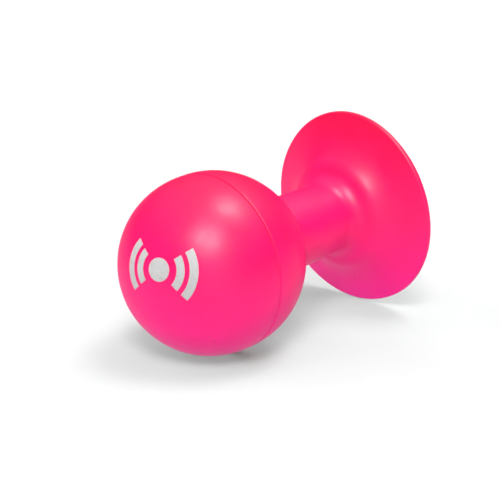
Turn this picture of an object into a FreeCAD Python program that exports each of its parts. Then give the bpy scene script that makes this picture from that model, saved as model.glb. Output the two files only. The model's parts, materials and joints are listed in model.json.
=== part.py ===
import FreeCAD, Part
import math
import os
import Sketcher

# A suction-ball phone stand of soft silicone, lying on its side.
#
# A hollow squeeze ball is joined by a short bored neck to a suction cup. The ball is moulded
# in two halves, bonded at a lap joint round its equator: the front half is a bowl with a
# tongue, the rear half is one moulding with the neck and the cup. A white mark is printed on
# the front of the ball. Every piece but the print is a body of revolution about one axis.
#
# Each revolved piece is drawn in its own frame: the axis is local +Y, y = 0 is the crown of
# the ball, and the cup opens towards +Y. A placement then tips the axis up until both the
# ball and the lip of the cup touch the floor, z = 0, with the object's box centred on X and Y.

SIZES = [
    ("ball_radius", 19.0, "outer radius of the squeeze ball"),
    ("ball_band", 0.95, "straight band between the front hemisphere and the seam"),
    ("ball_wall", 2.0, "wall of the hollow ball"),
    ("bond_gap", 0.2, "thickness of the adhesive in the lap joint"),
    ("tongue_length", 1.6, "how far the front half reaches into the rear half"),
    ("seam_chamfer", 0.25, "chamfer on both sides of the seam"),
    ("seam_groove", 0.4, "depth of the open groove outside the adhesive"),
    ("neck_root_radius", 8.3, "neck radius where it leaves the ball"),
    ("neck_end_radius", 7.7, "neck radius where it meets the cup"),
    ("neck_root_fillet", 1.0, "blend between the ball and the neck"),
    ("neck_flare_fillet", 4.0, "blend between the neck and the back of the cup"),
    ("bore_radius", 3.0, "radius of the air channel"),
    ("cup_distance", 45.2, "from the seam to the plane of the cup's lip"),
    ("cup_radius", 21.45, "outer radius of the suction cup"),
    ("shoulder_radius", 6.0, "rounding of the raised shoulder on the cup's back"),
    ("shoulder_out", 7.8, "distance of that rounding's centre from the axis"),
    ("shoulder_depth", 2.2, "distance of that rounding's centre from the plane of the lip"),
    ("brim_angle", 22.0, "slope in degrees of the thin brim outside the shoulder"),
    ("brim_fillet", 14.0, "hollow blend between the shoulder and the brim"),
    ("edge_radius", 0.6, "radius that turns the brim down to the lip"),
    ("lip_land", 0.3, "straight outer edge of the lip"),
    ("lip_round", 0.3, "rounding of the lip's outer corner"),
    ("lip_width", 1.6, "width of the flat sealing lip, with its rounding"),
    ("hollow_depth", 6.2, "depth of the cup's hollow at the mouth of the bore"),
    ("mark_turn", 11.5, "degrees that the print stands to the side of the crown"),
    ("mark_lift", 12.0, "degrees that the print stands above the crown"),
    ("mark_thickness", 0.08, "thickness of the printed ink"),
    ("mark_disc", 2.4, "radius of the disc in the middle of the print"),
    ("mark_inner_ripple", 4.0, "inside radius of the first pair of arcs"),
    ("mark_outer_ripple", 6.6, "inside radius of the second pair of arcs"),
    ("mark_stroke", 1.6, "width of the arcs"),
    ("mark_sweep", 80.0, "degrees that each arc covers"),
]

# Places that follow from the sizes, in the local frame of the revolved pieces.
LAYOUT = [
    ("seam", "Sizes.ball_radius + Sizes.ball_band"),
    ("front_face", "seam - Sizes.bond_gap / 2"),
    ("rear_face", "seam + Sizes.bond_gap / 2"),
    ("rear_centre", "rear_face + Sizes.seam_chamfer"),
    ("inner_radius", "Sizes.ball_radius - Sizes.ball_wall"),
    ("tongue_radius", "Sizes.ball_radius - (Sizes.ball_wall + Sizes.bond_gap) / 2"),
    ("rebate_radius", "tongue_radius + Sizes.bond_gap"),
    ("tongue_end", "seam + Sizes.tongue_length"),
    ("rebate_end", "tongue_end + Sizes.bond_gap"),
    ("rebate_inside", "sqrt(inner_radius ^ 2 - (rebate_end - rear_centre) ^ 2)"),
    ("neck_start", "rear_centre + sqrt(Sizes.ball_radius ^ 2 - Sizes.neck_root_radius ^ 2)"),
    ("bore_start", "rear_centre + sqrt(inner_radius ^ 2 - Sizes.bore_radius ^ 2)"),
    ("lip", "seam + Sizes.cup_distance"),
    ("lip_inside", "Sizes.cup_radius - Sizes.lip_width"),
    ("bore_end", "lip - Sizes.hollow_depth"),
    ("hollow_offset", "(lip_inside ^ 2 - Sizes.bore_radius ^ 2 - Sizes.hollow_depth ^ 2)"
     " / (2 * Sizes.hollow_depth)"),
    ("hollow_radius", "sqrt(lip_inside ^ 2 + hollow_offset ^ 2)"),
    ("edge_end", "lip - Sizes.lip_round - Sizes.lip_land"),
    ("edge_centre", "Sizes.cup_radius - Sizes.edge_radius"),
    ("brim_end_radius", "edge_centre + Sizes.edge_radius * sin(Sizes.brim_angle)"),
    ("brim_end", "edge_end - Sizes.edge_radius * cos(Sizes.brim_angle)"),
    # The brim is straight, and runs inwards from its end until it meets the shoulder.
    ("shoulder_centre", "lip - Sizes.shoulder_depth"),
    ("brim_over_shoulder", "brim_end - shoulder_centre"),
    ("brim_beside_shoulder", "brim_end_radius - Sizes.shoulder_out"),
    ("brim_to_middle", "brim_beside_shoulder * cos(Sizes.brim_angle)"
     " + brim_over_shoulder * sin(Sizes.brim_angle)"),
    ("brim_run", "brim_to_middle - sqrt(brim_to_middle ^ 2 - brim_over_shoulder ^ 2"
     " - brim_beside_shoulder ^ 2 + Sizes.shoulder_radius ^ 2)"),
    ("brim_root_radius", "brim_end_radius - brim_run * cos(Sizes.brim_angle)"),
    ("brim_root", "brim_end - brim_run * sin(Sizes.brim_angle)"),
    ("neck_end", "shoulder_centre - sqrt(Sizes.shoulder_radius ^ 2"
     " - (Sizes.neck_end_radius - Sizes.shoulder_out) ^ 2)"),
    # The ball and the rounded end of the brim rest on the floor, which sets the tilt. The foot
    # is the centre of that rounding, measured from the front hemisphere's centre.
    ("foot_distance", "edge_end - Sizes.ball_radius"),
    ("rest_tilt", "acos((Sizes.ball_radius - Sizes.edge_radius)"
     " / sqrt(edge_centre ^ 2 + foot_distance ^ 2)) - atan(foot_distance / edge_centre)"),
    # The far end of the object's box is the lowest point of the lip's own rounding.
    ("lip_ring", "Sizes.cup_radius - Sizes.lip_round"),
    ("lip_ring_distance", "lip - Sizes.lip_round - Sizes.ball_radius"),
    ("ball_centre_y", "(Sizes.ball_radius - Sizes.lip_round"
     " - lip_ring_distance * cos(rest_tilt) - lip_ring * sin(rest_tilt)) / 2"),
    ("crown_y", "ball_centre_y - Sizes.ball_radius * cos(rest_tilt)"),
    ("crown_z", "Sizes.ball_radius * (1 - sin(rest_tilt))"),
]

FULL_TURN = 360.0
SAME_PLACE = 1e-4

V_AXIS = -2
H_AXIS = -1


def make_sheets(doc):
    """The driving sizes as plain numbers, and the layout worked out from them."""
    sizes = doc.addObject("Spreadsheet::Sheet", "Sizes")
    for row, (alias, value, meaning) in enumerate(SIZES, start=1):
        sizes.set(f"A{row}", alias)
        sizes.set(f"B{row}", str(value))
        sizes.set(f"C{row}", meaning)
        sizes.setAlias(f"B{row}", alias)
    doc.recompute()
    layout = doc.addObject("Spreadsheet::Sheet", "Layout")
    for row, (alias, formula) in enumerate(LAYOUT, start=1):
        layout.set(f"A{row}", alias)
        layout.set(f"B{row}", "=" + formula)
        layout.setAlias(f"B{row}", alias)
        doc.recompute()


def number(value):
    """A plain float, with the unit of a quantity dropped."""
    return float(getattr(value, "Value", value))


def origin_plane(body, role):
    return next(o for o in body.Origin.OriginFeatures if o.Role == role)


def arc_through(start, end, radius, side):
    """The short arc between two points. side is +1 to bulge to the left of start-end."""
    chord = end - start
    half = chord.Length / 2
    rise = radius - math.sqrt(radius * radius - half * half)
    left = FreeCAD.Vector(-chord.y, chord.x, 0).normalize()
    middle = (start + end) / 2 + left * (rise * side)
    return Part.Arc(start, middle, end)


def add_outline(sketch, outline):
    """Draw a closed outline and tie every corner and every radius to its expression.

    Each corner is (name, x, y) and is followed by a straight edge, or is
    (name, x, y, radius, side) and is followed by an arc. "0" puts a corner on an axis.
    """
    points = []
    for corner in outline:
        x, y = (number(sketch.evalExpression(text)) for text in corner[1:3])
        points.append(FreeCAD.Vector(x, y, 0))
    for i, corner in enumerate(outline):
        start, end = points[i], points[(i + 1) % len(points)]
        if len(corner) > 3:
            radius = number(sketch.evalExpression(corner[3]))
            sketch.addGeometry(arc_through(start, end, radius, corner[4]), False)
        else:
            sketch.addGeometry(Part.LineSegment(start, end), False)
    for i, corner in enumerate(outline):
        before = (i - 1) % len(points)
        here = vertex_at(sketch, i, points[i])
        there = vertex_at(sketch, before, points[i])
        sketch.addConstraint(Sketcher.Constraint("Coincident", before, there, i, here))
        place_corner(sketch, i, here, corner, points[i])
        if len(corner) > 3:
            radius = number(sketch.evalExpression(corner[3]))
            constraint = Sketcher.Constraint("Radius", i, radius)
            bind(sketch, constraint, corner[0] + "_radius", corner[3])


def vertex_at(sketch, edge, point):
    """Which end of an edge, 1 or 2, lies at a point."""
    near = [(sketch.getPoint(edge, end) - point).Length for end in (1, 2)]
    return 1 if near[0] < near[1] else 2


def place_corner(sketch, edge, end, corner, point):
    name, x, y = corner[:3]
    if x == "0":
        sketch.addConstraint(Sketcher.Constraint("PointOnObject", edge, end, V_AXIS))
    else:
        bind(sketch, Sketcher.Constraint("DistanceX", edge, end, point.x), name + "_x", x)
    if y == "0":
        sketch.addConstraint(Sketcher.Constraint("PointOnObject", edge, end, H_AXIS))
    else:
        bind(sketch, Sketcher.Constraint("DistanceY", edge, end, point.y), name + "_y", y)


def bind(sketch, constraint, name, expression):
    index = sketch.addConstraint(constraint)
    sketch.renameConstraint(index, name)
    sketch.setExpression("Constraints." + name, expression)


def revolved_body(doc, label, outline):
    """A body made by turning an outline about local Y, tipped into its resting place."""
    body = doc.addObject("PartDesign::Body", label)
    body.Label = label
    sketch = body.newObject("Sketcher::SketchObject", label + "_profile")
    sketch.AttachmentSupport = (origin_plane(body, "XY_Plane"), [""])
    sketch.MapMode = "FlatFace"
    doc.recompute()
    add_outline(sketch, outline)
    turned = body.newObject("PartDesign::Revolution", label + "_turned")
    turned.Profile = sketch
    turned.ReferenceAxis = (sketch, ["V_Axis"])
    turned.Angle = FULL_TURN
    sketch.Visibility = False
    body.Placement.Rotation = FreeCAD.Rotation(FreeCAD.Vector(1, 0, 0), 1)
    body.setExpression("Placement.Rotation.Angle", "Layout.rest_tilt")
    body.setExpression("Placement.Base.y", "Layout.crown_y")
    body.setExpression("Placement.Base.z", "Layout.crown_z")
    doc.recompute()
    return body


def ring_edge(shape, radius, height):
    """The name of the circular edge of a given radius at a given place along the axis."""
    for i, edge in enumerate(shape.Edges, start=1):
        curve = edge.Curve
        if not isinstance(curve, Part.Circle):
            continue
        if abs(curve.Radius - radius) < SAME_PLACE and abs(curve.Center.y - height) < SAME_PLACE:
            return f"Edge{i}"
    raise RuntimeError(f"no ring edge of radius {radius} at {height}")


def round_ring(doc, body, name, radius, height, size):
    """Fillet the circular edge at a radius and a height, all three given as expressions."""
    base = body.Tip
    at = [number(body.evalExpression(text)) for text in (radius, height)]
    fillet = body.newObject("PartDesign::Fillet", name)
    fillet.Base = (base, [ring_edge(base.Shape, *at)])
    fillet.setExpression("Radius", size)
    doc.recompute()


def make_front_shell(doc):
    """The front half of the ball: a bowl, its straight band and the tongue of the lap joint."""
    return revolved_body(doc, "front_shell", [
        ("crown", "0", "0", "Sizes.ball_radius", -1),
        ("band", "Sizes.ball_radius", "Sizes.ball_radius"),
        ("chamfer_out", "Sizes.ball_radius", "Layout.front_face - Sizes.seam_chamfer"),
        ("chamfer_in", "Sizes.ball_radius - Sizes.seam_chamfer", "Layout.front_face"),
        ("shoulder", "Layout.tongue_radius", "Layout.front_face"),
        ("tongue_out", "Layout.tongue_radius", "Layout.tongue_end"),
        ("tongue_in", "Layout.inner_radius", "Layout.tongue_end"),
        ("inside", "Layout.inner_radius", "Sizes.ball_radius", "Layout.inner_radius", 1),
        ("inner_crown", "0", "Sizes.ball_wall"),
    ])


def make_seam_bond(doc):
    """The stepped ring of silicone adhesive that fills the gap of the lap joint."""
    return revolved_body(doc, "seam_bond", [
        ("groove_front", "Sizes.ball_radius - Sizes.seam_groove", "Layout.front_face"),
        ("groove_rear", "Sizes.ball_radius - Sizes.seam_groove", "Layout.rear_face"),
        ("rebate_mouth", "Layout.rebate_radius", "Layout.rear_face"),
        ("rebate_corner", "Layout.rebate_radius", "Layout.rebate_end"),
        ("inside_rear", "Layout.rebate_inside", "Layout.rebate_end"),
        ("inside_front", "Layout.inner_radius", "Layout.tongue_end"),
        ("tongue_corner", "Layout.tongue_radius", "Layout.tongue_end"),
        ("tongue_root", "Layout.tongue_radius", "Layout.front_face"),
    ])


def make_cup_moulding(doc):
    """The rear half of the ball, the bored neck and the suction cup, in one moulding."""
    body = revolved_body(doc, "cup_moulding", [
        ("chamfer_in", "Sizes.ball_radius - Sizes.seam_chamfer", "Layout.rear_face"),
        ("ball", "Sizes.ball_radius", "Layout.rear_centre", "Sizes.ball_radius", -1),
        ("neck_root", "Sizes.neck_root_radius", "Layout.neck_start"),
        ("neck_end", "Sizes.neck_end_radius", "Layout.neck_end", "Sizes.shoulder_radius", -1),
        ("brim_root", "Layout.brim_root_radius", "Layout.brim_root"),
        ("edge", "Layout.brim_end_radius", "Layout.brim_end", "Sizes.edge_radius", -1),
        ("land", "Sizes.cup_radius", "Layout.edge_end"),
        ("lip_outer", "Sizes.cup_radius", "Layout.lip"),
        ("lip_inner", "Layout.lip_inside", "Layout.lip", "Layout.hollow_radius", 1),
        ("bore_end", "Sizes.bore_radius", "Layout.bore_end"),
        ("bore_start", "Sizes.bore_radius", "Layout.bore_start", "Layout.inner_radius", 1),
        ("inside", "Layout.rebate_inside", "Layout.rebate_end"),
        ("rebate_corner", "Layout.rebate_radius", "Layout.rebate_end"),
        ("rebate_mouth", "Layout.rebate_radius", "Layout.rear_face"),
    ])
    round_ring(doc, body, "root_blend", "Sizes.neck_root_radius", "Layout.neck_start",
               "Sizes.neck_root_fillet")
    round_ring(doc, body, "flare_blend", "Sizes.neck_end_radius", "Layout.neck_end",
               "Sizes.neck_flare_fillet")
    round_ring(doc, body, "brim_blend", "Layout.brim_root_radius", "Layout.brim_root",
               "Sizes.brim_fillet")
    round_ring(doc, body, "lip_rounding", "Sizes.cup_radius", "Layout.lip", "Sizes.lip_round")
    return body


def sphere(doc, name, radius):
    ball = doc.addObject("Part::Sphere", name)
    ball.setExpression("Radius", radius)
    return ball


def cylinder(doc, name, radius):
    """A cylinder from the ball's centre out past its surface, along local Z."""
    rod = doc.addObject("Part::Cylinder", name)
    rod.setExpression("Radius", radius)
    rod.setExpression("Height", "2 * Sizes.ball_radius")
    return rod


def ripple(doc, name, inside):
    """A pair of arcs, one on each side of the disc, as sectors of a tube."""
    sectors = []
    for side, turn in (("right", "0"), ("left", "180")):
        sector = cylinder(doc, f"{name}_{side}", f"{inside} + Sizes.mark_stroke")
        sector.setExpression("Angle", "Sizes.mark_sweep")
        sector.setExpression("Placement.Rotation.Angle", f"{turn} - Sizes.mark_sweep / 2")
        sectors.append(sector)
    pair = doc.addObject("Part::MultiFuse", f"{name}_pair")
    pair.Shapes = sectors
    arcs = doc.addObject("Part::Cut", name)
    arcs.Base = pair
    arcs.Tool = cylinder(doc, f"{name}_inside", inside)
    return arcs


def make_printed_mark(doc):
    """The print: a disc between two pairs of arcs, as thin islands of ink on the ball."""
    film = doc.addObject("Part::Cut", "ink_film")
    film.Base = sphere(doc, "ink_outside", "Sizes.ball_radius + Sizes.mark_thickness")
    film.Tool = sphere(doc, "ink_inside", "Sizes.ball_radius")
    stencil = doc.addObject("Part::MultiFuse", "ink_stencil")
    stencil.Shapes = [
        cylinder(doc, "ink_disc", "Sizes.mark_disc"),
        ripple(doc, "ink_ripple_inner", "Sizes.mark_inner_ripple"),
        ripple(doc, "ink_ripple_outer", "Sizes.mark_outer_ripple"),
    ]
    mark = doc.addObject("Part::Common", "printed_mark")
    mark.Label = "printed_mark"
    mark.Base = film
    mark.Tool = stencil
    mark.setExpression(
        "Placement",
        "placement(vector(0; Layout.ball_centre_y; Sizes.ball_radius);"
        " rotation(Sizes.mark_turn; 0; 90 - Sizes.mark_lift))")
    doc.recompute()
    return mark


def check(doc, nodes):
    for item in doc.Objects:
        faults = {"Invalid", "Error"} & set(item.State)
        if faults:
            raise RuntimeError(f"{item.Name} is {', '.join(faults)}")
    for node in nodes:
        if node.Shape.isNull() or not node.Shape.isValid():
            raise RuntimeError(f"{node.Label} has no valid shape")


def main():
    doc = FreeCAD.newDocument("suction_ball_stand")
    make_sheets(doc)
    nodes = [
        make_front_shell(doc),
        make_seam_bond(doc),
        make_cup_moulding(doc),
        make_printed_mark(doc),
    ]
    doc.recompute()
    check(doc, nodes)
    os.makedirs("parts", exist_ok=True)
    for node in nodes:
        box = node.Shape.BoundBox
        node.Shape.exportStep(f"parts/{node.Label}.step")
        print(f"{node.Label}: {len(node.Shape.Solids)} solids, {node.Shape.Volume:.1f} mm3,"
              f" y {box.YMin:.2f} to {box.YMax:.2f}, z {box.ZMin:.3f} to {box.ZMax:.2f}")


main()
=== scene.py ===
import json
import math

import bpy
import numpy as np
from mathutils import Matrix, Vector, noise


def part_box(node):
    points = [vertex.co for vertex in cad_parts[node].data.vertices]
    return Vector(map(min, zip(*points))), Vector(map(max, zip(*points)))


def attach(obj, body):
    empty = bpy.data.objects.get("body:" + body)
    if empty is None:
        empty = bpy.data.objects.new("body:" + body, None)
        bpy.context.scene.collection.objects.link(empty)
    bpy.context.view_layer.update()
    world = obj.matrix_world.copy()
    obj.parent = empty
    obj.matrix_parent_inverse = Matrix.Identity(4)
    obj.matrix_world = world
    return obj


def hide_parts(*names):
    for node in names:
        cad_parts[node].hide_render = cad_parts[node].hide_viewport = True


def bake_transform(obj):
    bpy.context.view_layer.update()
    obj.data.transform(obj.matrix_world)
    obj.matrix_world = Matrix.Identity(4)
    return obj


# A silicone suction-ball phone stand on a white sweep. Outlines are in millimetres along and
# out from the moulded axis, and become metres in place(). The ball, the cup and the plane of
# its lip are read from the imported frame. The other sizes of the two mouldings repeat the
# CAD's, except that the seam's chamfers are rounded here.

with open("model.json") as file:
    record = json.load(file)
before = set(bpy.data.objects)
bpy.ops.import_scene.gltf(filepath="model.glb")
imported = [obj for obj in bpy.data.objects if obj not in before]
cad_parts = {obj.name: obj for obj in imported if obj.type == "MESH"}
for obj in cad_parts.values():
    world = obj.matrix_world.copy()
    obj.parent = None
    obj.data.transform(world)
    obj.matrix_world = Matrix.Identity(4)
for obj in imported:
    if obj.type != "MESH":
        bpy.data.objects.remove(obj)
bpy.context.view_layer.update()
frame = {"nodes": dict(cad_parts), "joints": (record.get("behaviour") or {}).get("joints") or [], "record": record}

MM = 0.001
QUARTER = math.pi / 2
AROUND = 240              # steps round the moulded axis
FINE = math.radians(1.8)  # angle step along an arc of an outline
FEWEST = 5                # fewest steps along an arc
LONGEST = 0.8             # longest edge along an outline
SHARP = math.radians(35)  # edges that turn more than this stay crisp

BALL_WALL = 2.0
BALL_BAND = 0.95          # straight band between the front hemisphere and the seam
BOND_GAP = 0.2            # thickness of the adhesive in the lap joint
TONGUE = 1.6              # how far the front half reaches into the rear half
SEAM_ROUND = 0.25
NECK_ROOT_R = 8.3         # the neck's radius where it leaves the ball
NECK_END_R = 7.7          # the neck's radius where it meets the cup
ROOT_FILLET = 1.0
FLARE_FILLET = 4.0
BORE_R = 3.0
SHOULDER_R = 6.0          # rounding of the raised shoulder on the cup's back
SHOULDER_OUT = 7.8        # distance of that rounding's centre from the axis
SHOULDER_DEPTH = 2.2      # distance of that rounding's centre from the plane of the lip
BRIM_FILLET = 14.0
BRIM_SLOPE = math.radians(22.0)
EDGE_R = 0.6              # turns the brim down to the lip
LIP_LAND = 0.3            # straight outer edge of the lip
LIP_ROUND = 0.3
LIP_WIDTH = 1.6
HOLLOW_DEPTH = 6.2        # depth of the cup's hollow at the mouth of the bore


def read_frame():
    """The moulded axis, the ball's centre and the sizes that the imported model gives."""
    joint = next(j for j in frame["joints"] if j["name"] == "ball_squeeze")
    axis = Vector(joint["axis"]).normalized()
    low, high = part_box("front_shell")
    ball_r = (high.x - low.x) / 2
    centre = Vector((0, low.y + ball_r, low.z + ball_r))
    lip = next(m for m in frame["record"]["mounts"] if m["name"] == "cup_lip")
    cup_low, cup_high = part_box("cup_moulding")
    return {
        "axis": axis,
        "side": Vector((1, 0, 0)),
        "up": Vector((1, 0, 0)).cross(axis),
        "centre": centre,
        "ball": ball_r / MM,
        "cup": (cup_high.x - cup_low.x) / 2 / MM,
        "lip": (Vector(lip["pos_m"]) - centre).dot(axis) / MM,
    }


STAND = read_frame()
BALL = STAND["ball"]
CUP = STAND["cup"]
LIP = STAND["lip"]
SEAM_FRONT = BALL_BAND - BOND_GAP / 2
SEAM_REAR = BALL_BAND + BOND_GAP / 2
REAR_CENTRE = SEAM_REAR + SEAM_ROUND


def place(along, out, angle):
    """A point of the row frame, from places along and out from the axis, in millimetres.

    along is counted from the centre of the front hemisphere towards the cup.
    """
    radial = STAND["side"] * math.cos(angle) + STAND["up"] * math.sin(angle)
    return STAND["centre"] + (STAND["axis"] * along + radial * out) * MM


# ---- outlines: lists of (along, out) -------------------------------------------------------

def arc(centre, radius, start, end):
    """Points on an arc from one angle to another, both ends included."""
    steps = max(FEWEST, math.ceil(abs(end - start) / FINE))
    turns = [start + (end - start) * i / steps for i in range(steps + 1)]
    return [(centre[0] + radius * math.cos(t), centre[1] + radius * math.sin(t)) for t in turns]


def fine_runs(outline, closed):
    """The outline with its long straight edges divided."""
    points = []
    last = len(outline) if closed else len(outline) - 1
    for i in range(last):
        here = np.array(outline[i])
        there = np.array(outline[(i + 1) % len(outline)])
        steps = max(1, math.ceil(np.linalg.norm(there - here) / LONGEST))
        points += [tuple(here + (there - here) * k / steps) for k in range(steps)]
    return points if closed else points + [outline[-1]]


def touching_arc(start, end, radius, circle, circle_r, far):
    """The concave arc that blends a line into a round: its centre and its two end angles.

    The line runs from start to end with the material below it. far picks the meeting point
    on the far side of the round, as where the ball ends and the neck begins.
    """
    line = np.array(end) - np.array(start)
    line = line / np.linalg.norm(line)
    normal = np.array([-line[1], line[0]])
    base = np.array(start) + normal * radius
    offset = base - np.array(circle)
    middle = -(offset @ line)
    reach = math.sqrt(middle * middle - offset @ offset + (circle_r + radius) ** 2)
    centre = base + line * (middle + (reach if far else -reach))
    to_round = np.array(circle) - centre
    return tuple(centre), math.atan2(-normal[1], -normal[0]), math.atan2(to_round[1], to_round[0])


def front_outline():
    """The front half of the ball, from the outer crown round to the inner crown."""
    inner = BALL - BALL_WALL
    tongue = BALL - (BALL_WALL + BOND_GAP) / 2
    tip = BALL_BAND + TONGUE
    corner = (SEAM_FRONT - SEAM_ROUND, BALL - SEAM_ROUND)
    return fine_runs([
        *arc((0, 0), BALL, math.pi, QUARTER),
        *arc(corner, SEAM_ROUND, QUARTER, 0),
        (SEAM_FRONT, tongue),
        (tip, tongue),
        (tip, inner),
        *arc((0, 0), inner, QUARTER, math.pi),
    ], closed=False)


def outside_of_moulding():
    """The outside, from the seam over the ball, along the neck and over the cup to its lip."""
    rear = (REAR_CENTRE, 0)
    edge = (LIP - LIP_ROUND - LIP_LAND, CUP - EDGE_R)
    shoulder = (LIP - SHOULDER_DEPTH, SHOULDER_OUT)
    drop = math.sqrt(SHOULDER_R ** 2 - (NECK_END_R - SHOULDER_OUT) ** 2)
    neck_start = (rear[0] + math.sqrt(BALL ** 2 - NECK_ROOT_R ** 2), NECK_ROOT_R)
    neck_end = (shoulder[0] - drop, NECK_END_R)
    slope = math.pi - BRIM_SLOPE
    brim_end = (edge[0] + EDGE_R * math.cos(slope), edge[1] + EDGE_R * math.sin(slope))
    # A point 1 mm further in gives the straight brim its direction.
    brim_start = (brim_end[0] - math.sin(BRIM_SLOPE), brim_end[1] - math.cos(BRIM_SLOPE))
    root, root_line, root_ball = touching_arc(
        neck_start, neck_end, ROOT_FILLET, rear, BALL, far=True)
    flare, flare_line, flare_top = touching_arc(
        neck_start, neck_end, FLARE_FILLET, shoulder, SHOULDER_R, far=False)
    brim, brim_line, brim_top = touching_arc(
        brim_start, brim_end, BRIM_FILLET, shoulder, SHOULDER_R, far=True)
    return [
        *arc((rear[0], BALL - SEAM_ROUND), SEAM_ROUND, math.pi, QUARTER)[:-1],
        *arc(rear, BALL, QUARTER, root_ball + math.pi),
        *arc(root, ROOT_FILLET, root_ball, root_line)[1:],
        *arc(flare, FLARE_FILLET, flare_line, flare_top),
        *arc(shoulder, SHOULDER_R, flare_top + math.pi, brim_top + math.pi)[1:],
        *arc(brim, BRIM_FILLET, brim_top, brim_line)[1:],
        *arc(edge, EDGE_R, slope, QUARTER),
        *arc((LIP - LIP_ROUND, CUP - LIP_ROUND), LIP_ROUND, QUARTER, 0),
    ]


def inside_of_moulding():
    """The hollow of the cup, the bore, the inside of the ball and the rebate of the joint."""
    inner = BALL - BALL_WALL
    hollow_out = CUP - LIP_WIDTH
    offset = (hollow_out ** 2 - BORE_R ** 2 - HOLLOW_DEPTH ** 2) / (2 * HOLLOW_DEPTH)
    hollow = math.hypot(hollow_out, offset)
    rim, mouth = math.asin(hollow_out / hollow), math.asin(BORE_R / hollow)
    rebate = BALL - (BALL_WALL - BOND_GAP) / 2
    rebate_end = BALL_BAND + TONGUE + BOND_GAP
    bore = math.asin(BORE_R / inner)
    return [
        *arc((LIP + offset, 0), hollow, math.pi - rim, math.pi - mouth),
        *arc((REAR_CENTRE, 0), inner, bore, math.acos((rebate_end - REAR_CENTRE) / inner)),
        (rebate_end, rebate),
        (SEAM_REAR, rebate),
    ]


def moulding_outline():
    return fine_runs([*outside_of_moulding(), *inside_of_moulding()], closed=True)


# ---- the small unevenness of soft moulded rubber ------------------------------------------

LOBES = 3                 # the cup's lip isn't quite round: it has this many shallow lobes
LOBE_HEIGHT = 0.17        # millimetres at the lip
LOBE_TURN = math.radians(90.0)  # where the first lobe stands, round the axis
LOBE_START = 34.0         # along the axis, where the lobes begin
WAVE_HEIGHT = 0.03        # millimetres, of the slow waves of the surface
WAVE_SIZE = 7.0           # millimetres across a wave


def lobed(along, out, angle):
    """How far out a point lies once the cup's slight lobes are added."""
    share = min(1.0, max(0.0, (along - LOBE_START) / (LIP - LOBE_START)))
    return out + LOBE_HEIGHT * share * (out / CUP) * math.cos(LOBES * (angle - LOBE_TURN))


def uneven(obj):
    """Lift the surface by slow shallow waves along its normals."""
    mesh = obj.data
    normals = [v.vector.copy() for v in mesh.vertex_normals]
    for vertex, normal in zip(mesh.vertices, normals):
        wave = noise.noise(vertex.co / (WAVE_SIZE * MM))
        vertex.co += normal * (wave * WAVE_HEIGHT * MM)
    mesh.update()


# ---- meshes --------------------------------------------------------------------------------

def turned_points(rings):
    """The points of the rings that the outline's points make, one ring after another."""
    points = []
    for along, out in rings:
        for k in range(AROUND):
            angle = 2 * math.pi * k / AROUND
            points.append(place(along, lobed(along, out, angle), angle))
    return points


def turned_faces(count, closed):
    """The faces from each ring to the next. A closed outline's last ring meets its first."""
    faces = []
    for i in range(count if closed else count - 1):
        j = (i + 1) % count
        for k in range(AROUND):
            m = (k + 1) % AROUND
            faces.append((i * AROUND + k, j * AROUND + k, j * AROUND + m, i * AROUND + m))
    return faces


def fan(ring, pole, first):
    """The triangles that close the first or the last ring at a point on the axis."""
    faces = []
    for k in range(AROUND):
        edge = (ring * AROUND + k, ring * AROUND + (k + 1) % AROUND)
        faces.append((pole, *edge) if first else (pole, *reversed(edge)))
    return faces


def revolve(name, outline, closed):
    """A mesh turned about the moulded axis. An open outline starts and ends on the axis."""
    rings = outline if closed else outline[1:-1]
    points = turned_points(rings)
    faces = turned_faces(len(rings), closed)
    if not closed:
        pole = len(points)
        faces += fan(0, pole, first=True)
        faces += fan(len(rings) - 1, pole + 1, first=False)
        points += [place(along, 0, 0) for along, _ in (outline[0], outline[-1])]
    mesh = bpy.data.meshes.new(name)
    mesh.from_pydata([tuple(p) for p in points], [], faces)
    mesh.validate()
    mesh.update()
    outward(mesh)
    for face in mesh.polygons:
        face.use_smooth = True
    mesh.set_sharp_from_angle(angle=SHARP)
    obj = bpy.data.objects.new(name, mesh)
    bpy.context.scene.collection.objects.link(obj)
    return obj


def outward(mesh):
    """Turn the faces so that a closed mesh has a positive volume."""
    mesh.calc_loop_triangles()
    co = np.array([v.co for v in mesh.vertices])
    tri = np.array([t.vertices for t in mesh.loop_triangles])
    a, b, c = co[tri[:, 0]], co[tri[:, 1]], co[tri[:, 2]]
    if np.einsum("ij,ij->i", a, np.cross(b, c)).sum() < 0:
        mesh.flip_normals()


# ---- materials -----------------------------------------------------------------------------

# Noise scales: about this many patches to the metre.
PAPER_TONE = 30.0
MOTTLING = 160.0
GLOSS_PATCHES = 420.0
DIMPLES = 900.0
INK_COVER = 1400.0
SPECKS = 1500.0
INK_SCREEN = 4200.0
GRAIN = 5200.0
NOISE_LOW = 0.3           # noise mostly lies between these two
NOISE_HIGH = 0.7

# Bumps: how far the surface seems to rise, in metres, and the share of it that shows.
GRAIN_BUMP = (0.02 * MM, 0.5)
DIMPLE_BUMP = (0.04 * MM, 0.35)
SCREEN_BUMP = (0.01 * MM, 0.5)

SILICONE_ROUGHNESS = (0.34, 0.42)
SILICONE_IOR = 1.41
SILICONE_SPECULAR = 0.5
SCATTERED = 0.2           # the share of the light that goes into the silicone
SCATTER_REACH = 1.6 * MM  # how far red light goes in
SCATTER_BY_COLOUR = (1.0, 0.18, 0.3)
INK_ROUGHNESS = (0.5, 0.62)
PAPER_ROUGHNESS = 0.9
PAPER_SPECULAR = 0.1

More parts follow.
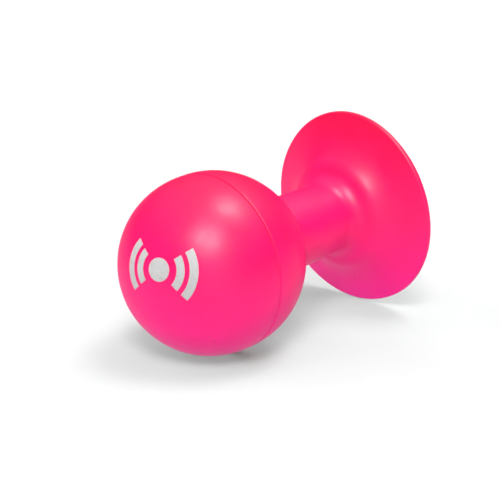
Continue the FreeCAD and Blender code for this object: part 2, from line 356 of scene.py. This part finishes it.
# Colour stops of the silicone from the floor up to the height where it is reddest. The drift with height is
# painted light: magenta low down, where the light falls cooler, and red on top, where it falls warmer.
PAINTED_TINT_TOP = 0.043         # metres above the floor
PINK_DEEP_AND_PAINTED_LIGHT = [
    (0.0, (0.84, 0.002, 0.250)),
    (0.5, (0.88, 0.002, 0.118)),
    (1.0, (0.93, 0.001, 0.042)),
]
PINK_LIGHT_AND_PAINTED_LIGHT = [
    (0.0, (0.88, 0.004, 0.270)),
    (0.5, (0.91, 0.004, 0.133)),
    (1.0, (0.95, 0.002, 0.052)),
]
# The adhesive's dark red is its own colour. Its drift with height is painted light, as in the pink.
ADHESIVE_DEEP_AND_PAINTED_LIGHT = [(0.0, (0.55, 0.004, 0.06)), (1.0, (0.62, 0.006, 0.05))]
ADHESIVE_LIGHT_AND_PAINTED_LIGHT = [(0.0, (0.60, 0.006, 0.08)), (1.0, (0.70, 0.010, 0.07))]

# Only the highest peaks of the noise are specks, and even there the pink shows through.
SPECK = (0.50, 0.001, 0.045)
SPECK_START = (0.79, (0, 0, 0))
SPECK_FULL = (0.83, (0.35, 0.35, 0.35))

# The lamps are bright, so these greys come out white.
INK_THIN = (0.28, (0.40, 0.30, 0.33))
INK_FULL = (0.45, (0.42, 0.42, 0.42))
PAPER_DARK = (NOISE_LOW, (0.51, 0.515, 0.515))
PAPER_LIGHT = (NOISE_HIGH, (0.54, 0.545, 0.545))


def new_material(name):
    material = bpy.data.materials.new(name)
    material.use_nodes = True
    tree = material.node_tree
    return material, tree, tree.nodes["Principled BSDF"]


def object_coordinates(tree):
    return tree.nodes.new("ShaderNodeTexCoord").outputs["Object"]


def noise_node(tree, vector, scale, detail=3.0, roughness=0.55):
    node = tree.nodes.new("ShaderNodeTexNoise")
    node.inputs["Scale"].default_value = scale
    node.inputs["Detail"].default_value = detail
    node.inputs["Roughness"].default_value = roughness
    tree.links.new(vector, node.inputs["Vector"])
    return node.outputs["Fac"]


def ramp(tree, value, stops):
    """A colour ramp: stops are (position, colour)."""
    node = tree.nodes.new("ShaderNodeValToRGB")
    first, last = node.color_ramp.elements
    first.position, first.color = stops[0][0], (*stops[0][1], 1)
    last.position, last.color = stops[-1][0], (*stops[-1][1], 1)
    for position, colour in stops[1:-1]:
        node.color_ramp.elements.new(position).color = (*colour, 1)
    tree.links.new(value, node.inputs["Fac"])
    return node.outputs["Color"]


def spread(tree, value, low, high):
    """Map noise to a range."""
    node = tree.nodes.new("ShaderNodeMapRange")
    node.inputs["From Min"].default_value = NOISE_LOW
    node.inputs["From Max"].default_value = NOISE_HIGH
    node.inputs["To Min"].default_value = low
    node.inputs["To Max"].default_value = high
    tree.links.new(value, node.inputs["Value"])
    return node.outputs["Result"]


def bump(tree, height, distance, strength, normal=None):
    node = tree.nodes.new("ShaderNodeBump")
    node.inputs["Distance"].default_value = distance
    node.inputs["Strength"].default_value = strength
    tree.links.new(height, node.inputs["Height"])
    if normal is not None:
        tree.links.new(normal, node.inputs["Normal"])
    return node.outputs["Normal"]


def height_share(tree):
    """The height of a point above the floor, as a share of PAINTED_TINT_TOP."""
    split = tree.nodes.new("ShaderNodeSeparateXYZ")
    tree.links.new(object_coordinates(tree), split.inputs[0])
    node = tree.nodes.new("ShaderNodeMath")
    node.operation = "DIVIDE"
    node.inputs[1].default_value = PAINTED_TINT_TOP
    tree.links.new(split.outputs["Z"], node.inputs[0])
    return node.outputs["Value"]


def mixed(tree, share, first, second):
    """A blend of two colours by a share that comes from a socket."""
    node = tree.nodes.new("ShaderNodeMix")
    node.data_type = "RGBA"
    tree.links.new(share, node.inputs["Factor"])
    colours = [i for i in node.inputs if i.type == "RGBA"]
    for socket, colour in zip(colours, (first, second)):
        tree.links.new(colour, socket)
    return next(o for o in node.outputs if o.type == "RGBA")


def colour(tree, rgb):
    """A socket that gives one colour."""
    node = tree.nodes.new("ShaderNodeRGB")
    node.outputs[0].default_value = (*rgb, 1)
    return node.outputs[0]


def silicone(name, deep, light):
    """Satin moulded silicone: slightly translucent, with a fine grain and faint mottling.

    deep and light are colour stops from the floor up. Their drift with height is painted light:
    magenta low down, where the light falls cooler, and red on top, where it falls warmer. A few
    specks of pigment or dust, under half a millimetre across, are a little darker.
    """
    material, tree, shader = new_material(name)
    at = object_coordinates(tree)
    share = height_share(tree)
    mottling = spread(tree, noise_node(tree, at, MOTTLING, detail=4.0), 0.0, 1.0)
    # Painted light: the colour ramps by height, magenta low down and red on top, mixed with the mottling.
    colour_and_painted_light = mixed(tree, mottling, ramp(tree, share, deep), ramp(tree, share, light))
    specks = ramp(tree, noise_node(tree, at, SPECKS, detail=0.0), [SPECK_START, SPECK_FULL])
    tree.links.new(mixed(tree, specks, colour_and_painted_light, colour(tree, SPECK)), shader.inputs["Base Color"])
    patches = noise_node(tree, at, GLOSS_PATCHES, detail=5.0)
    tree.links.new(spread(tree, patches, *SILICONE_ROUGHNESS), shader.inputs["Roughness"])
    grain = noise_node(tree, at, GRAIN, detail=2.0, roughness=0.6)
    soft = bump(tree, grain, *GRAIN_BUMP)
    dimples = noise_node(tree, at, DIMPLES)
    tree.links.new(bump(tree, dimples, *DIMPLE_BUMP, soft), shader.inputs["Normal"])
    shader.inputs["IOR"].default_value = SILICONE_IOR
    shader.inputs["Specular IOR Level"].default_value = SILICONE_SPECULAR
    shader.inputs["Subsurface Weight"].default_value = SCATTERED
    shader.inputs["Subsurface Radius"].default_value = SCATTER_BY_COLOUR
    shader.inputs["Subsurface Scale"].default_value = SCATTER_REACH
    return material


def ink(name):
    """Matt white pad print: thin, so the pink shows through where it is thinnest."""
    material, tree, shader = new_material(name)
    at = object_coordinates(tree)
    cover = noise_node(tree, at, INK_COVER, detail=4.0)
    tree.links.new(ramp(tree, cover, [INK_THIN, INK_FULL]), shader.inputs["Base Color"])
    tree.links.new(spread(tree, cover, *INK_ROUGHNESS), shader.inputs["Roughness"])
    screen = noise_node(tree, at, INK_SCREEN, detail=2.0)
    tree.links.new(bump(tree, screen, *SCREEN_BUMP), shader.inputs["Normal"])
    return material


def paper(name):
    """The white sheet that the stand lies on, very slightly uneven in tone."""
    material, tree, shader = new_material(name)
    tone = noise_node(tree, object_coordinates(tree), PAPER_TONE)
    tree.links.new(ramp(tree, tone, [PAPER_DARK, PAPER_LIGHT]), shader.inputs["Base Color"])
    shader.inputs["Roughness"].default_value = PAPER_ROUGHNESS
    shader.inputs["Specular IOR Level"].default_value = PAPER_SPECULAR
    return material


def paint(obj, material):
    obj.data.materials.clear()
    obj.data.materials.append(material)


# ---- pieces --------------------------------------------------------------------------------


def silicone_skin(name, outline, closed, material):
    """A silicone piece, with its slight unevenness.

    Diffuse rays pass it by, so it throws no pink on the floor and the shadow stays grey.
    bounce() gives the two such pieces the light that they would throw on each other.
    """
    skin = revolve(name, outline, closed)
    uneven(skin)
    paint(skin, material)
    skin.visible_diffuse = False
    return skin


def make_front_shell(material):
    """The front half of the ball."""
    shell = silicone_skin("front_shell_skin", front_outline(), False, material)
    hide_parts("front_shell")
    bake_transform(shell)
    return shell


def make_moulding(material):
    """The rear half of the ball with the neck and the cup."""
    moulding = silicone_skin("cup_moulding_skin", moulding_outline(), True, material)
    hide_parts("cup_moulding")
    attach(moulding, "root")
    return moulding


def dress_cad_nodes(adhesive, white):
    """The adhesive and the print keep their CAD shapes and get finer materials."""
    paint(frame["nodes"]["seam_bond"], adhesive)
    paint(frame["nodes"]["printed_mark"], white)


# ---- floor, light and camera ---------------------------------------------------------------

FLOOR_REACH = 4.0         # metres from the middle to each side

CAMERA_AZIMUTH = math.radians(43.2)
CAMERA_ELEVATION = math.radians(17.8)
CAMERA_LENS = 144.0
CAMERA_AWAY = 21.715      # distance and offsets from the middle of the seam, in ball radii
CAMERA_RIGHT = 0.403
CAMERA_UP = 0.136
CAMERA_NEAREST = 0.01     # metres

# The ways that the light comes from.
FRONT = (0.31, -0.36, 0.53)
OVERHEAD = (0.10, 0.17, 0.56)
LEFT = (-0.62, -0.42, 0.16)
RIGHT = (0.60, -0.45, 0.12)
ABOVE = (0, 0, 1)
LOW_LEFT = (-0.40, -0.35, -0.60)
BOUNCE_COLOUR = (1, 0.3, 0.9)

# The world's greys by height: 0 is straight down, 0.5 the horizon and 1 straight up.
WORLD_GREYS = [(0.0, 0.5), (0.35, 0.5), (0.47, 0.3), (0.52, 0.05), (0.675, 0.12), (1.0, 1.0)]


def make_camera():
    """A long lens, looking down on the stand from beyond the ball, on its right."""
    ahead = Vector((
        -math.sin(CAMERA_AZIMUTH) * math.cos(CAMERA_ELEVATION),
        math.cos(CAMERA_AZIMUTH) * math.cos(CAMERA_ELEVATION),
        -math.sin(CAMERA_ELEVATION),
    ))
    right = ahead.cross(Vector((0, 0, 1))).normalized()
    up = right.cross(ahead)
    seam = place(BALL_BAND, 0, 0)
    offset = right * CAMERA_RIGHT + up * CAMERA_UP - ahead * CAMERA_AWAY
    data = bpy.data.cameras.new("camera")
    data.lens = CAMERA_LENS
    data.clip_start = CAMERA_NEAREST
    camera = bpy.data.objects.new("camera", data)
    camera.matrix_world = Matrix.Translation(seam + offset * BALL * MM) @ Matrix(
        (right, up, -ahead)).transposed().to_4x4()
    bpy.context.scene.collection.objects.link(camera)
    bpy.context.scene.camera = camera


def make_floor():
    sides = [(-1, -1), (1, -1), (1, 1), (-1, 1)]
    corners = [(x * FLOOR_REACH, y * FLOOR_REACH, 0) for x, y in sides]
    mesh = bpy.data.meshes.new("floor")
    mesh.from_pydata(corners, [], [(0, 1, 2, 3)])
    mesh.materials.append(paper("floor_paper"))
    floor = bpy.data.objects.new("floor", mesh)
    bpy.context.scene.collection.objects.link(floor)
    floor.visible_glossy = False


def sun(name, source, angle, strength, diffuse=True, glossy=True):
    """A distant round softbox that lights the floor evenly.

    source is the way to the lamp, and angle is how wide it looks, in degrees. A lamp that
    isn't diffuse only makes a highlight. One that isn't glossy is a wide fill: every sample of
    it is cast as a shadow ray, so that it leaves a soft neutral shadow.
    """
    data = bpy.data.lights.new(name, "SUN")
    data.angle = math.radians(angle)
    data.energy = strength
    data.cycles.use_multiple_importance_sampling = glossy
    lamp = bpy.data.objects.new(name, data)
    lamp.rotation_mode = "QUATERNION"
    lamp.rotation_quaternion = Vector(source).to_track_quat("Z", "Y")
    lamp.visible_diffuse = diffuse
    lamp.visible_glossy = glossy
    bpy.context.scene.collection.objects.link(lamp)
    return lamp


def bounce(pieces):
    """The pink light that the lower sides throw on each other. It leaves the floor alone."""
    lit = bpy.data.collections.new("lit_by_bounce")
    for piece in pieces:
        lit.objects.link(piece)
    lamp = sun("bounce", LOW_LEFT, angle=90, strength=0.6, glossy=False)
    lamp.data.color = BOUNCE_COLOUR
    lamp.light_linking.receiver_collection = lit
    lamp.light_linking.blocker_collection = lit


def make_world():
    """White to the camera. To the stand it is bright above, dim around and grey below."""
    world = bpy.data.worlds.new("studio")
    world.use_nodes = True
    tree = world.node_tree
    split = tree.nodes.new("ShaderNodeSeparateXYZ")
    tree.links.new(tree.nodes.new("ShaderNodeTexCoord").outputs["Generated"], split.inputs[0])
    height = tree.nodes.new("ShaderNodeMapRange")
    height.inputs["From Min"].default_value = -1  # the way straight down; up is 1
    tree.links.new(split.outputs["Z"], height.inputs["Value"])
    stops = [(at, (grey, grey, grey)) for at, grey in WORLD_GREYS]
    greys = ramp(tree, height.outputs["Result"], stops)
    white = colour(tree, (1, 1, 1))
    seen = tree.nodes.new("ShaderNodeLightPath").outputs["Is Camera Ray"]
    tree.links.new(mixed(tree, seen, greys, white), tree.nodes["Background"].inputs["Color"])
    bpy.context.scene.world = world


def make_lights():
    sun("front", FRONT, angle=20, strength=1.7)
    sun("front_shine", FRONT, angle=34, strength=1.6, diffuse=False)
    sun("overhead", OVERHEAD, angle=26, strength=1.2)
    sun("overhead_shine", OVERHEAD, angle=12, strength=0.8, diffuse=False)
    sun("left", LEFT, angle=60, strength=1.6, glossy=False)
    sun("right", RIGHT, angle=50, strength=0.5)
    sun("dome", ABOVE, angle=150, strength=1.8, glossy=False)


def main():
    pink = silicone("pink_silicone", PINK_DEEP_AND_PAINTED_LIGHT, PINK_LIGHT_AND_PAINTED_LIGHT)
    adhesive = silicone("seam_adhesive", ADHESIVE_DEEP_AND_PAINTED_LIGHT, ADHESIVE_LIGHT_AND_PAINTED_LIGHT)
    stand = [make_front_shell(pink), make_moulding(pink)]
    dress_cad_nodes(adhesive, ink("white_print"))
    make_floor()
    make_lights()
    make_world()
    bounce(stand)
    make_camera()
    # The default view transform would wash out so strong a pink.
    bpy.context.scene.view_settings.view_transform = "Standard"


main()
